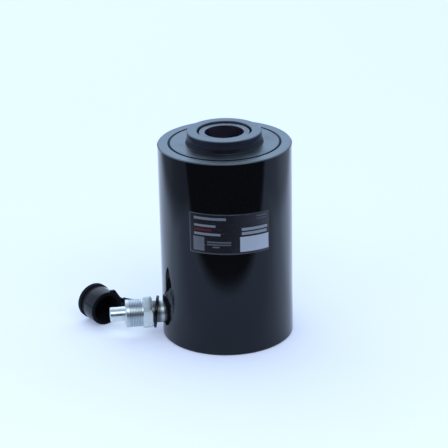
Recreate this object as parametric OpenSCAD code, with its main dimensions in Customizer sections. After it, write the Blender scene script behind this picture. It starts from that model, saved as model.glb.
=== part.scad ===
// Hollow plunger cylinder, single acting with spring return.
// Frame: Z up along the plunger axis, floor at Z = 0, coupler along -X.

/* [Cylinder body] */
// Outside diameter of the cylinder body
body_d = 114; // [112:0.5:130]
// Diameter of the pressure bore
bore_d = 88.9; // [88:0.1:90]
// Thickness of the base below the pressure chamber
base_t = 18; // [17:0.5:24]
// Chamfer on the outer edges of the body
edge_c = 1; // [0.5:0.1:2]
// Circle diameter of the tapped holes in the base
base_pcd = 92.2; // [88:0.1:96]
// Diameter of the tapped holes in the base
base_hole_d = 8; // [6:0.1:9]

/* [Plunger] */
// Working stroke of the plunger
stroke = 64; // [40:1:150]
// Diameter of the plunger rod
plunger_d = 63.5; // [62.5:0.1:64]
// Height of the plunger rim above the body when retracted
plunger_out = 10.5; // [8:0.5:20]
// Height of the piston head with its seals
head_h = 25; // [25:1:32]
// Chamfer on the outer edge of the plunger rim
rim_c = 0.8; // [0.4:0.1:1.2]

/* [Center tube and saddle] */
// Diameter of the center hole
hole_d = 33.3; // [31:0.1:34]
// Outside diameter of the center tube
tube_d = 44.4; // [43:0.1:44.6]
// Thread diameter of the saddle
saddle_d = 46; // [45.6:0.1:46.4]
// Depth of the saddle face below the plunger rim
saddle_drop = 1.5; // [0.6:0.1:3]
// Height of the saddle
saddle_h = 20; // [14:1:24]

/* [Gland] */
// Thread diameter of the gland nut
gland_d = 94.6; // [93:0.1:97]
// Height of the gland nut
gland_h = 27; // [25:1:32]
// Height of the wiper lip above the gland face
lip_out = 3.5; // [1.5:0.1:5]

/* [Return spring] */
// Wire diameter of the return spring
spring_wire_d = 5; // [4:0.1:5.4]
// Number of coils of the return spring
spring_turns = 5.6; // [4.6:0.5:6.6]

/* [Port and coupler] */
// Thread diameter of the port
port_d = 16.6; // [15:0.1:17.4]
// Diameter of the nipple neck
neck_d = 19; // [18:0.1:20]
// Length of the neck between body and hexagon
neck_l = 10; // [9.5:0.1:14]
// Width across flats of the coupler hexagon
hex_af = 26; // [24:0.5:28]
// Length of the coupler hexagon
hex_l = 8; // [6:0.5:10]
// Diameter of the coupling thread
thread_d = 24; // [23:0.1:24.4]
// Length of the coupling thread
thread_l = 15.2; // [14:0.1:18]
// Diameter of the coupler nose
nose_d = 12.6; // [12.4:0.1:14]
// Length of the coupler nose
nose_l = 13.5; // [13:0.1:16]

/* [Dust cap] */
// Outside diameter of the cap cup
cap_d = 30.6; // [29:0.1:32]
// Diameter of the flange at the closed end
cap_flange_d = 31.8; // [31.2:0.1:33]
// Thickness of the cap's flange in mm
cap_flange_t = 5; // [4:0.1:7]
// Length of the cap
cap_l = 23; // [20:0.5:24]
// Thickness of the cap's closed end
cap_end_t = 3; // [2:0.1:4]
// Width of the strap
strap_w = 9; // [7:0.5:9]
// Thickness of the strap
strap_t = 2.4; // [1.6:0.1:2.8]

/* [Hidden] */
$fn = 96;
// Clearances
run_gap = 0.1;
seal_gap = 0.07;
seat_gap = 0.5;
ball_gap = 0.12;
// Radii of the main pieces
body_r = body_d / 2;
bore_r = bore_d / 2;
rod_r = plunger_d / 2;
hole_r = hole_d / 2;
tube_r = tube_d / 2;
gland_r = gland_d / 2;
saddle_r = saddle_d / 2;
// Plunger heights
relief_h = 8.5;
stop_h = (spring_turns + 0.4) * spring_wire_d;
plunger_z = base_t + seat_gap;
head_z = plunger_z + relief_h;
head_top = head_z + head_h;
stop_top = head_top + stop_h;
// Body and gland heights
gland_z = stop_top + stroke;
body_h = gland_z + gland_h;
rim_z = body_h + plunger_out;
pilot_h = 5;
gland_seat = gland_z + pilot_h;
joint_c = 1;
// Piston head radii
head_r = bore_r - run_gap;
relief_r = bore_r - 6.4;
spring_r = (bore_r + rod_r) / 2 + 1.9;
stop_r = spring_r - spring_wire_d / 2 - 1.5;
inner_r = tube_r + run_gap;
// Grooves in the piston head, measured up from the head's underside
seal_z = head_z + 3;
seal_h = 7;
backup_h = 2.5;
wear_z = seal_z + seal_h + backup_h + 4;
wear_h = 6;
seal_in_r = head_r - 5.8;
wear_in_r = head_r - 2.8;
seal_out_r = bore_r - seal_gap;
// Grooves in the plunger bore
inner_seal_z = head_z + 3;
inner_seal_h = 5;
inner_seal_r = inner_r + 3.7;
inner_wear_z = inner_seal_z + inner_seal_h + 7;
inner_wear_h = 8;
inner_wear_r = inner_r + 2;
inner_lip_r = tube_r + seal_gap;
// Saddle seat and center tube top
saddle_z = rim_z - saddle_drop - saddle_h;
saddle_c = 1.8;
hole_c = 0.4;
mouth_c = 0.7;
tube_top = saddle_z - 5;
// Seal groove in the base
base_seal_z = base_t - 9;
base_seal_h = 3.2;
base_backup_h = 1.6;
base_seal_r = tube_r + 2.6;
base_hole_l = base_t - 4;
// Gland grooves
gland_hole_r = rod_r + 0.5;
bearing_z = gland_z + 3;
bearing_h = 11;
bearing_r = rod_r + 2.6;
wiper_h = 6;
wiper_z = body_h - 2.5 - wiper_h;
wiper_r = rod_r + 4.8;
lip_r = rod_r + 1.45;
rod_lip_r = rod_r + seal_gap;
// Port and coupler stations along the coupler axis, out from the plunger axis
port_h = base_t + 2;
port_r = port_d / 2;
neck_r = neck_d / 2;
spot_r = neck_r + 0.6;
spot_x = body_r - 1.6;
port_x = bore_r + 2.4;
passage_r = 3;
nipple_in = port_x + 1.2;
hex_x = spot_x + neck_l + 1.1;
socket_x = hex_x + 9.5;
nipple_out = socket_x - 0.6;
nipple_bore_r = 4;
thread_x = hex_x + hex_l;
nose_x = thread_x + thread_l;
tip_x = nose_x + nose_l;
nose_r = nose_d / 2;
thread_r = thread_d / 2;
hex_r = hex_af / sqrt(3);
chamber_r = 5.6;
chamber_x = socket_x + 9.6;
valve_r = 4.3;
ball_r = 3.97;
seat_hole_r = 3.2;
seat_x = tip_x - 1.7;
seat_cone = valve_r - seat_hole_r;
ball_x = seat_x - sqrt(ball_r * ball_r - seat_hole_r * seat_hole_r) - ball_gap - 0.3;
retainer_t = 2;
retainer_x = chamber_x - retainer_t;
retainer_hole_r = 2;
check_wire_d = 0.8;
check_r = 2.7;
check_turns = 5;
check_end = ball_x - sqrt(ball_r * ball_r - check_r * check_r) - check_wire_d / 2 - 0.1;
// Dust cap lying beside the nose, its axis turned in plan and tilted to rest on two rims
cap_r = cap_d / 2;
cap_flange_r = cap_flange_d / 2;
cap_hole_r = thread_r + 0.2;
cap_turn = 61.3;
cap_tilt = atan((cap_flange_r - cap_r) / (cap_l - cap_flange_t));
floor_gap = 0.2;
cap_z = floor_gap + cap_flange_t * sin(cap_tilt) + cap_flange_r * cos(cap_tilt);
cap_out = 12.4;
cap_x = -(tip_x + cap_out);
cap_y = 42.9;
cap_dir = [cos(cap_tilt) * cos(cap_turn), -cos(cap_tilt) * sin(cap_turn), -sin(cap_tilt)];
cap_side = [sin(cap_turn), cos(cap_turn), 0];
pad_y = cap_r + 2.1;
pad_t = 3;
pad_z = cap_l - 0.4 - pad_t;
pad_up = 0.8;
// Strap ring hanging askew on the neck, its near side close to the hexagon
ring_in_r = neck_r + 0.75;
ring_out_r = ring_in_r + 3.95;
ring_t = 2.6;
ring_tilt = 5.5;
ring_yaw = 8;
ring_lean = acos(cos(ring_tilt) * cos(ring_yaw));
ring_gap = 0.35;
ring_x = hex_x - ring_gap - ring_out_r * sin(ring_lean) - ring_t / 2 * cos(ring_lean);
// Strap path from the cap's pad to the ring
strap_p0 = [cap_x, cap_y, cap_z + pad_up] + pad_y * cap_side + (pad_z + pad_t / 2) * cap_dir;
strap_lead = 7;
strap_dip = 3.7;
strap_p1 = strap_p0 + strap_lead * cap_side - [0, 0, strap_dip];
strap_p3 = [-ring_x, 0, port_h] + (ring_in_r + 2.5) * [sin(ring_yaw), cos(ring_yaw), 0];
strap_reach = 15;
strap_fall = 8;
strap_p2 = strap_p3 + [0, strap_reach, -strap_fall];
strap_n = 20;

// Ring of rectangular section about the plunger axis
module ring(r_in, r_out, z, h) {
    translate([0, 0, z])
        rotate_extrude()
            translate([r_in, 0])
                square([r_out - r_in, h]);
}

// Cylinder along the coupler axis, between two stations measured out from the plunger axis
module along_port(x_a, x_b, r) {
    translate([-x_b, 0, port_h])
        rotate([0, 90, 0])
            cylinder(h = x_b - x_a, r = r);
}

// Profile of radius and station turned about the coupler axis
module turned_port(pts) {
    translate([0, 0, port_h])
        rotate([0, -90, 0])
            rotate_extrude()
                polygon(pts);
}

// Height of a coil spring's center line after a number of turns, its end coils closed
function coil_z(a, n, l, wire) =
    let(p = 1.03 * wire, m = (l - wire - 2 * p) / (n - 2))
    wire / 2 + (a < 1 ? a * p : a > n - 1 ? p + (n - 2) * m + (a - n + 1) * p : p + (a - 1) * m);

// Coil spring of round wire standing on Z = 0
module coil(n, r, wire, l, sides, steps) {
    count = round(n * steps);
    pts = [for (i = [0:count], k = [0:sides - 1])
        let(a = i * n / count, w = 360 * k / sides, q = r + wire / 2 * cos(w))
        [q * cos(360 * a), q * sin(360 * a), coil_z(a, n, l, wire) + wire / 2 * sin(w)]];
    walls = [for (i = [0:count - 1], k = [0:sides - 1])
        let(k2 = (k + 1) % sides)
        [i * sides + k, i * sides + k2, (i + 1) * sides + k2, (i + 1) * sides + k]];
    first = [for (k = [sides - 1:-1:0]) k];
    last = [for (k = [0:sides - 1]) count * sides + k];
    polyhedron(points = pts, faces = concat([first], walls, [last]), convexity = 10);
}

// Barrel with integral base, port, spot face and tapped base holes
module cylinder_body() {
    color([0.03, 0.03, 0.035])
    difference() {
        rotate_extrude()
            polygon([[tube_r, 0], [body_r - edge_c, 0], [body_r, edge_c], [body_r, body_h - edge_c],
                [body_r - edge_c, body_h], [gland_r + joint_c, body_h], [gland_r, body_h - joint_c],
                [gland_r, gland_seat], [bore_r, gland_seat], [bore_r, base_t], [tube_r, base_t],
                [tube_r, base_seal_z + base_seal_h + base_backup_h],
                [base_seal_r, base_seal_z + base_seal_h + base_backup_h],
                [base_seal_r, base_seal_z], [tube_r, base_seal_z]]);
        along_port(spot_x, body_r + 5, spot_r);
        along_port(port_x, body_r, port_r);
        along_port(bore_r - 0.6, port_x + 1, passage_r);
        for (s = [-1, 1])
            translate([0, s * base_pcd / 2, -1])
                cylinder(h = base_hole_l + 1, d = base_hole_d);
    }
}

// Tube that lines the center hole, screwed into the base
module center_tube() {
    color([0.55, 0.56, 0.58])
    ring(hole_r, tube_r, 0, tube_top);
}

// Seal between the center tube and the base
module center_tube_o_ring() {
    color([0.06, 0.06, 0.06])
    ring(tube_r, base_seal_r, base_seal_z, base_seal_h);
}

// Backup ring above the center tube's seal
module center_tube_backup_ring() {
    color([0.85, 0.84, 0.8])
    ring(tube_r, base_seal_r, base_seal_z + base_seal_h, base_backup_h);
}

// Screwed gland nut that guides the plunger and stops its stroke
module gland_nut() {
    color([0.05, 0.05, 0.06])
    rotate_extrude()
        polygon([[gland_hole_r, gland_z], [bore_r, gland_z], [bore_r, gland_seat], [gland_r, gland_seat],
            [gland_r, body_h - joint_c], [gland_r - joint_c, body_h], [lip_r, body_h],
            [lip_r, wiper_z + wiper_h], [wiper_r, wiper_z + wiper_h], [wiper_r, wiper_z],
            [gland_hole_r, wiper_z], [gland_hole_r, bearing_z + bearing_h],
            [bearing_r, bearing_z + bearing_h], [bearing_r, bearing_z], [gland_hole_r, bearing_z]]);
}

// Guide bearing in the gland nut
module gland_bearing() {
    color([0.7, 0.52, 0.25])
    ring(rod_r + run_gap, bearing_r, bearing_z, bearing_h);
}

// Wiper with a lip that stands above the gland face
module rod_wiper() {
    color([0.04, 0.04, 0.04])
    rotate_extrude()
        polygon([[rod_lip_r + 0.3, wiper_z], [wiper_r, wiper_z], [wiper_r, wiper_z + wiper_h],
            [lip_r, wiper_z + wiper_h], [lip_r, body_h], [lip_r - 0.25, body_h + 0.4],
            [rod_lip_r + 0.45, body_h + lip_out], [rod_lip_r, body_h + lip_out],
            [rod_lip_r, body_h + lip_out - 1], [rod_lip_r + 0.3, body_h]]);
}

// Return spring between the piston head and the gland nut
module return_spring() {
    color([0.3, 0.31, 0.33])
    translate([0, 0, head_top + 0.3])
        coil(spring_turns, spring_r, spring_wire_d, gland_z - head_top - 0.35, 10, 24);
}

// Nipple screwed into the port, with the plain neck that carries the strap ring
module port_nipple() {
    color([0.62, 0.63, 0.65])
    turned_port([[nipple_bore_r, nipple_in], [port_r, nipple_in], [port_r, spot_x], [neck_r, spot_x],
        [neck_r, hex_x], [port_r, hex_x], [port_r, nipple_out], [nipple_bore_r, nipple_out]]);
}

// Coupler half: hexagon, coupling thread and nose, bored for the check valve
module coupler_body() {
    color([0.7, 0.71, 0.73])
    difference() {
        union() {
            translate([0, 0, port_h])
                rotate([0, -90, 0])
                    intersection() {
                        translate([0, 0, hex_x])
                            cylinder(h = hex_l, r = hex_r, $fn = 6);
                        rotate_extrude()
                            polygon([[0, hex_x], [hex_r - 1.2, hex_x], [hex_r, hex_x + 0.8],
                                [hex_r, thread_x - 0.8], [hex_r - 1.2, thread_x], [0, thread_x]]);
                    }
            turned_port([[0, thread_x - 0.5], [thread_r, thread_x - 0.5], [thread_r, nose_x - 1],
                [thread_r - 1, nose_x], [nose_r, nose_x], [nose_r, tip_x - 0.8], [nose_r - 0.8, tip_x],
                [0, tip_x]]);
        }
        turned_port([[0, hex_x - 1], [port_r, hex_x - 1], [port_r, socket_x], [chamber_r, socket_x],
            [chamber_r, chamber_x], [valve_r, chamber_x], [valve_r, seat_x - seat_cone],
            [seat_hole_r, seat_x], [seat_hole_r, tip_x + 1], [0, tip_x + 1]]);
    }
}

// Ring that holds the check spring
module spring_retainer() {
    color([0.6, 0.6, 0.62])
    turned_port([[retainer_hole_r, retainer_x], [chamber_r, retainer_x], [chamber_r, chamber_x],
        [retainer_hole_r, chamber_x]]);
}

// Spring that closes the check ball
module check_spring() {
    color([0.5, 0.5, 0.52])
    translate([-chamber_x, 0, port_h])
        rotate([0, -90, 0])
            translate([0, 0, 0.05])
                coil(check_turns, check_r, check_wire_d, check_end - chamber_x, 8, 16);
}

// Ball of the coupler's check valve
module check_ball() {
    color([0.8, 0.8, 0.82])
    translate([-ball_x, 0, port_h])
        sphere(r = ball_r);
}

// Hollow plunger with piston head, stop collar and threaded mouth
module plunger() {
    color([0.2, 0.2, 0.22])
    rotate_extrude()
        polygon([[inner_r, plunger_z], [relief_r, plunger_z], [relief_r, head_z], [head_r, head_z],
            [head_r, seal_z], [seal_in_r, seal_z], [seal_in_r, seal_z + seal_h + backup_h],
            [head_r, seal_z + seal_h + backup_h], [head_r, wear_z], [wear_in_r, wear_z],
            [wear_in_r, wear_z + wear_h], [head_r, wear_z + wear_h], [head_r, head_top],
            [stop_r, head_top], [stop_r, stop_top], [rod_r, stop_top], [rod_r, rim_z - rim_c],
            [rod_r - rim_c, rim_z], [saddle_r + mouth_c, rim_z], [saddle_r, rim_z - mouth_c],
            [saddle_r, saddle_z], [inner_r, saddle_z], [inner_r, inner_wear_z + inner_wear_h],
            [inner_wear_r, inner_wear_z + inner_wear_h], [inner_wear_r, inner_wear_z],
            [inner_r, inner_wear_z], [inner_r, inner_seal_z + inner_seal_h],
            [inner_seal_r, inner_seal_z + inner_seal_h], [inner_seal_r, inner_seal_z],
            [inner_r, inner_seal_z]]);
}

// Lip seal of the piston, open towards the pressure side
module piston_seal() {
    color([0.1, 0.12, 0.3])
    rotate_extrude()
        polygon([[seal_in_r, seal_z], [seal_in_r + 1.6, seal_z], [(seal_in_r + seal_out_r) / 2, seal_z + 3.5],
            [seal_out_r - 1.6, seal_z], [seal_out_r, seal_z], [seal_out_r, seal_z + seal_h],
            [seal_in_r, seal_z + seal_h]]);
}

// Backup ring above the piston seal
module piston_backup_ring() {
    color([0.85, 0.84, 0.8])
    ring(seal_in_r, seal_out_r, seal_z + seal_h, backup_h);
}

// Wear ring that guides the piston head in the bore
module piston_wear_ring() {
    color([0.45, 0.3, 0.15])
    ring(wear_in_r, seal_out_r, wear_z, wear_h);
}

// Seal of the plunger on the center tube
module plunger_inner_seal() {
    color([0.1, 0.12, 0.3])
    ring(inner_lip_r, inner_seal_r, inner_seal_z, inner_seal_h);
}

// Wear ring of the plunger on the center tube
module plunger_inner_wear_ring() {
    color([0.45, 0.3, 0.15])
    ring(inner_lip_r, inner_wear_r, inner_wear_z, inner_wear_h);
}

// Hollow saddle screwed into the plunger's mouth
module saddle() {
    color([0.3, 0.31, 0.33])
    rotate_extrude()
        polygon([[hole_r, saddle_z], [saddle_r, saddle_z], [saddle_r, saddle_z + saddle_h - saddle_c],
            [saddle_r - saddle_c, saddle_z + saddle_h], [hole_r + hole_c, saddle_z + saddle_h],
            [hole_r, saddle_z + saddle_h - hole_c]]);
}

// Cap lying on the floor, with the pad that carries the strap
module dust_cap() {
    color([0.03, 0.03, 0.03])
    translate([cap_x, cap_y, cap_z])
        rotate([0, 0, -cap_turn])
            rotate([0, 90 + cap_tilt, 0]) {
                rotate_extrude()
                    polygon([[0, 0], [cap_flange_r - 0.6, 0], [cap_flange_r, 0.6],
                        [cap_flange_r, cap_flange_t], [cap_r, cap_flange_t], [cap_r, cap_l],
                        [cap_hole_r, cap_l], [cap_hole_r, cap_end_t], [0, cap_end_t]]);
                difference() {
                    translate([0, 0, pad_z])
                        linear_extrude(pad_t)
                            polygon([[-1.02 * cap_r, 0.33 * cap_r], [-0.99 * cap_r, 0.63 * cap_r],
                                [-0.4 * cap_r, cap_r], [-strap_w / 2 - pad_up, pad_y],
                                [strap_w / 2 - pad_up, pad_y], [0.62 * cap_r, 0.81 * cap_r],
                                [0.62 * cap_r, 0.46 * cap_r], [-0.85 * cap_r, 0.33 * cap_r]]);
                    translate([0, 0, pad_z - 1])
                        cylinder(h = pad_t + 2, r = (cap_r + cap_hole_r) / 2);
                }
            }
}

// Point and heading on the strap's path
function strap_at(t) = pow(1 - t, 3) * strap_p0 + 3 * pow(1 - t, 2) * t * strap_p1
    + 3 * (1 - t) * t * t * strap_p2 + pow(t, 3) * strap_p3;
function strap_dir(t) = pow(1 - t, 2) * (strap_p1 - strap_p0) + 2 * (1 - t) * t * (strap_p2 - strap_p1)
    + t * t * (strap_p3 - strap_p2);
function strap_side(t) = let(d = strap_dir(t)) [-d[1], d[0], 0] / norm([d[0], d[1]]);

// Strap from the cap's pad to the loose ring on the nipple neck
module dust_cap_strap() {
    color([0.03, 0.03, 0.03])
    union() {
        translate([-ring_x, 0, port_h])
            rotate([0, 90 + ring_tilt, -ring_yaw])
                translate([0, 0, -ring_t / 2])
                    difference() {
                        cylinder(h = ring_t, r = ring_out_r);
                        translate([0, 0, -1])
                            cylinder(h = ring_t + 2, r = ring_in_r);
                    }
        pts = [for (i = [0:strap_n], s = [[-1, -1], [1, -1], [1, 1], [-1, 1]])
            let(t = i / strap_n)
            strap_at(t) + s[0] * strap_t / 2 * strap_side(t) + [0, 0, s[1] * strap_w / 2]];
        walls = [for (i = [0:strap_n - 1], k = [0:3])
            [4 * i + k, 4 * i + 4 + k, 4 * i + 4 + (k + 1) % 4, 4 * i + (k + 1) % 4]];
        polyhedron(points = pts, faces = concat([[0, 1, 2, 3]], walls,
            [[4 * strap_n + 3, 4 * strap_n + 2, 4 * strap_n + 1, 4 * strap_n]]), convexity = 6);
    }
}

cylinder_body();
center_tube();
center_tube_o_ring();
center_tube_backup_ring();
gland_nut();
gland_bearing();
rod_wiper();
return_spring();
port_nipple();
coupler_body();
spring_retainer();
check_spring();
check_ball();
plunger();
piston_seal();
piston_backup_ring();
piston_wear_ring();
plunger_inner_seal();
plunger_inner_wear_ring();
saddle();
dust_cap();
dust_cap_strap();
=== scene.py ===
"""Looks of a hollow plunger cylinder, laid out as an add-on: finishes, moulded and turned pieces, stage."""

import functools
import math

import bmesh
import bpy
from mathutils import Matrix, Vector


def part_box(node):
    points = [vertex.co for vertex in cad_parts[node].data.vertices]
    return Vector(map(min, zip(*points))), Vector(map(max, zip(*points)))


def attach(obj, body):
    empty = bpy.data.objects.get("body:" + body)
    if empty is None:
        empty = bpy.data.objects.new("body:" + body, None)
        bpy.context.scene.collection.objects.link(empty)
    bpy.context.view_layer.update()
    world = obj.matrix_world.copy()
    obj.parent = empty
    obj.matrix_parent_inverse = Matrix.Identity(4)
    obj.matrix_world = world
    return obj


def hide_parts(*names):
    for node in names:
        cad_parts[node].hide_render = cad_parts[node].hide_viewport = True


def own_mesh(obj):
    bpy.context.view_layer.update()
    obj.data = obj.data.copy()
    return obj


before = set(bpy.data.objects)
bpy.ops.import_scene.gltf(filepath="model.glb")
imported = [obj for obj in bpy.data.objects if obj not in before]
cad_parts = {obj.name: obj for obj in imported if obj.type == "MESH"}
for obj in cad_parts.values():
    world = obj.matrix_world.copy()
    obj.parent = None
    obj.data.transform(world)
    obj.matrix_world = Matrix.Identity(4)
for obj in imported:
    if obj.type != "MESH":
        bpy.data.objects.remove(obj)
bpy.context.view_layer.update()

bl_info = {
    "name": "Hollow plunger cylinder",
    "version": (1, 0, 0),
    "blender": (4, 5, 0),
    "location": "3D View > Sidebar > Cylinder",
    "description": "Dresses the cylinder's solids with turned and moulded pieces, finishes and a stage",
    "category": "Object",
}

# Main sizes of the solids, read from the frame
BARREL_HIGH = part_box("cylinder_body")[1]
BARREL_RADIUS, BARREL_TOP = BARREL_HIGH[0], BARREL_HIGH[2]
COUPLER_LOW, COUPLER_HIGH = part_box("coupler_body")
PORT_HEIGHT = (COUPLER_LOW[2] + COUPLER_HIGH[2]) / 2
RIM_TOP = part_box("plunger")[1][2]
GLAND_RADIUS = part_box("gland_nut")[1][0]
SADDLE_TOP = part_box("saddle")[1][2]
SADDLE_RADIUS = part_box("saddle")[1][0]
SADDLE_BORE = 0.0170

# Coupler: distances from the plunger axis, then radii from its own axis
NECK_END, HEX_START, THREAD_START, THREAD_END, COUPLER_TIP = 0.0660, 0.0665, 0.0745, 0.0897, 0.1032
THREAD_RADIUS, NOSE_RADIUS, NIPPLE_RADIUS, HEX_CORNER = 0.0120, 0.0063, 0.0083, 0.026 / math.sqrt(3)
COUPLER_PLACE = Matrix(((0, 0, -1, 0), (0, 1, 0, 0), (1, 0, 0, PORT_HEIGHT), (0, 0, 0, 1)))

# Label film, strap pad, strap ring and the strap's end on it, and faces round the cap
FILM_GAP, FILM_THICKNESS, FILM_STRIPS = 0.00004, 0.00012, 72
PAD_ROOT, PAD_REACH, PAD_DEPTH, PAD_THICKNESS = 0.0136, 0.0021, 0.0034, 0.0030
RING_INNER, RING_OUTER, RING_HALF, STRAP_END = 0.01025, 0.0142, 0.0013, 0.01275
CAP_STEPS = 112

# Lowest and highest point of each spring, along its own axis
RETURN_SPAN = (0.0523, 0.14595)
CHECK_SPAN = (0.08565, 0.0953)

# Near-black colour of painted shade in joints, recesses and the cap's mouth
PAINTED_SHADE = (0.0012, 0.0013, 0.0018)
COOL_SHEEN = (0.75, 0.86, 1.0, 1.0)
PLAIN_SHEEN = (1.0, 1.0, 1.0, 1.0)

# Direction from the cylinder to the camera, in plan
TOWARD_X, TOWARD_Y = -0.112, -0.994


# Settings

def length_setting(name, about, default, **limits):
    """A setting in metres."""
    return bpy.props.FloatProperty(name=name, description=about, unit="LENGTH", default=default, **limits)


def angle_setting(name, about, degrees):
    """A setting that is an angle."""
    return bpy.props.FloatProperty(
        name=name, description=about, subtype="ANGLE", default=math.radians(degrees))


def colour_setting(name, about, default):
    """A setting that is a colour."""
    return bpy.props.FloatVectorProperty(
        name=name, description=about, subtype="COLOR", size=3, min=0.0, max=1.0, default=default)


def place_setting(name, about, default):
    """A setting that is a point in space."""
    return bpy.props.FloatVectorProperty(
        name=name, description=about, subtype="TRANSLATION", size=3, default=default)


class BarrelSettings(bpy.types.PropertyGroup):
    """Black enamel barrel with its machined top face."""

    enamel_colour: colour_setting(
        "Enamel colour", "Colour of the gloss enamel on the barrel", (0.0056, 0.0053, 0.0064))
    enamel_roughness: bpy.props.FloatProperty(
        name="Enamel roughness", description="Roughness of the clean enamel",
        subtype="FACTOR", min=0.0, max=1.0, default=0.05)
    machined_colour: colour_setting(
        "Machined steel colour", "Colour of the black finished turned faces", (0.147, 0.170, 0.174))
    oxide_colour: colour_setting(
        "Black oxide colour", "Colour of the plunger's blackened side", (0.0200, 0.0210, 0.0320))


class LabelSettings(bpy.types.PropertyGroup):
    """Blank rating label on the front of the barrel."""

    start_angle: angle_setting(
        "Left edge", "Angle of the left edge about the barrel, from the front", -38.7)
    end_angle: angle_setting(
        "Right edge", "Angle of the right edge about the barrel, from the front", 32.1)
    low: length_setting("Lower edge", "Height of the label's lower edge", 0.0931)
    high: length_setting("Upper edge", "Height of the label's upper edge", 0.1289)
    corner: length_setting("Corner radius", "Radius of the label's corners", 0.0008)
    tilt: angle_setting("Tilt", "How far the label is stuck on askew, right end down", 1.0)
    film_colour: colour_setting("Film colour", "Colour of the label's film", (0.0180, 0.0185, 0.0240))
    print_colour: colour_setting(
        "Print colour", "Colour of the blank panels and ruled lines", (0.49, 0.56, 0.66))


class CouplerSettings(bpy.types.PropertyGroup):
    """Zinc plated coupler half with its hexagon, thread and nose."""

    thread_pitch: length_setting(
        "Thread pitch", "Pitch of the coupling thread", 0.0014, min=0.0008, max=0.003)
    thread_depth: length_setting(
        "Thread depth", "Depth of the coupling thread", 0.00016, min=0.0001, max=0.0012)
    zinc_colour: colour_setting("Zinc colour", "Colour of the zinc plate", (0.78, 0.86, 0.84))


class CapSettings(bpy.types.PropertyGroup):
    """Moulded rubber dust cap, its strap and ring."""

    rubber_colour: colour_setting(
        "Rubber colour", "Colour of the moulded rubber", (0.0040, 0.0042, 0.0055))
    back_place: place_setting("Cap place", "Centre of the cap's closed end", (-0.1156, 0.0429, 0.016258))
    turn: angle_setting("Cap turn", "Turn of the cap's axis from the coupler axis, in plan", 61.3)
    tilt: angle_setting("Cap tilt", "Fall of the cap's axis towards its mouth", 1.909)
    length: length_setting("Cap length", "Length of the cap", 0.023)
    cup_radius: length_setting("Cup radius", "Outside radius of the cup", 0.0153)
    flange_radius: length_setting("Flange radius", "Radius of the flange at the closed end", 0.0159)
    flange_thickness: length_setting("Flange thickness", "Thickness of the flange", 0.005)
    hole_radius: length_setting("Hole radius", "Radius of the hole that slips over the thread", 0.0122)
    end_thickness: length_setting("End thickness", "Thickness of the closed end", 0.003)
    strap_width: length_setting("Strap width", "Width of the strap", 0.009)
    strap_thickness: length_setting("Strap thickness", "Thickness of the strap", 0.0024)
    strap_rise: length_setting("Strap rise", "Height of the strap's root above the cap's axis", 0.0008)
    ring_place: place_setting("Ring place", "Centre of the loose ring on the neck", (-0.062476, 0.0, 0.020))
    ring_turn: angle_setting("Ring turn", "Turn of the ring in plan, its near side towards the hexagon", 8.0)
    ring_tilt: angle_setting("Ring tilt", "Lean of the ring's top towards the barrel", 5.5)
    edge_round: length_setting(
        "Edge rounding", "Radius of the moulded edges", 0.0007, min=0.0002, max=0.002)


class SpringSettings(bpy.types.PropertyGroup):
    """Coil springs of the plunger and of the check valve."""

    return_wire: length_setting("Return spring wire", "Wire diameter of the return spring", 0.005)
    return_radius: length_setting("Return spring radius", "Radius of the return spring's wire centre", 0.040)
    return_turns: bpy.props.FloatProperty(
        name="Return spring turns", description="Number of coils", default=5.6)
    check_wire: length_setting("Check spring wire", "Wire diameter of the check spring", 0.0008)
    check_radius: length_setting("Check spring radius", "Radius of the check spring's wire centre", 0.0027)
    check_turns: bpy.props.FloatProperty(
        name="Check spring turns", description="Number of coils", default=5.0)
    steel_colour: colour_setting(
        "Spring steel colour", "Colour of the oiled spring wire", (0.20, 0.21, 0.23))


class StageSettings(bpy.types.PropertyGroup):
    """Pale sheet, soft light and camera."""

    sheet_colour: colour_setting(
        "Sheet colour", "Colour of the pale sheet under the cylinder", (0.87, 0.91, 0.93))
    sheet_front: length_setting(
        "Sheet front", "How far the sheet reaches in front of the cylinder's axis", 0.190)
    camera_place: place_setting("Camera place", "Where the camera stands", (-0.166188, -1.459611, 0.688407))
    camera_lens: bpy.props.FloatProperty(
        name="Camera lens", description="Focal length in millimetres", default=148.09)
    key_strength: bpy.props.FloatProperty(
        name="Key light", description="Power of the soft light above the camera, in watts", default=7.5)


# Handling of objects and selections

def deselect_all():
    """Leaves edit mode with nothing selected."""
    if bpy.context.mode != "OBJECT":
        bpy.ops.object.mode_set(mode="OBJECT")
    bpy.ops.object.select_all(action="DESELECT")


def pick(piece):
    """Makes one object the selected and active one."""
    deselect_all()
    piece.select_set(True)
    bpy.context.view_layer.objects.active = piece


def name_piece(name):
    """Names the active object and its data."""
    piece = bpy.context.object
    piece.name = name
    piece.data.name = name
    return piece


def select_vertices(piece, test):
    """In edit mode, selects the vertices whose place passes the test."""
    mesh = bmesh.from_edit_mesh(piece.data)
    for part in (*mesh.faces, *mesh.edges):
        part.select = False
    for vertex in mesh.verts:
        vertex.select = test(vertex.co)
    mesh.select_flush(True)
    bmesh.update_edit_mesh(piece.data)


def put_in_place(piece, place):
    """Moves a piece and writes its place into its mesh."""
    pick(piece)
    piece.matrix_world = place
    bpy.ops.object.transform_apply(location=True, rotation=True, scale=True)


def close_seams(piece, distance=1e-6):
    """Merges doubled vertices and turns all faces outwards."""
    pick(piece)
    bpy.ops.object.mode_set(mode="EDIT")
    bpy.ops.mesh.select_all(action="SELECT")
    bpy.ops.mesh.remove_doubles(threshold=distance)
    bpy.ops.mesh.normals_make_consistent(inside=False)
    bpy.ops.object.mode_set(mode="OBJECT")


def modify(piece, kind, **settings):
    """Adds one modifier and applies it."""
    pick(piece)
    modifier = piece.modifiers.new("shape", kind)
    for key, value in settings.items():
        setattr(modifier, key, value)
    bpy.ops.object.modifier_apply(modifier=modifier.name)


def cut_or_join(piece, tool, operation):
    """Applies one exact boolean and removes the tool."""
    modify(piece, "BOOLEAN", operation=operation, solver="EXACT", object=tool)
    bpy.data.objects.remove(tool, do_unlink=True)


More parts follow.
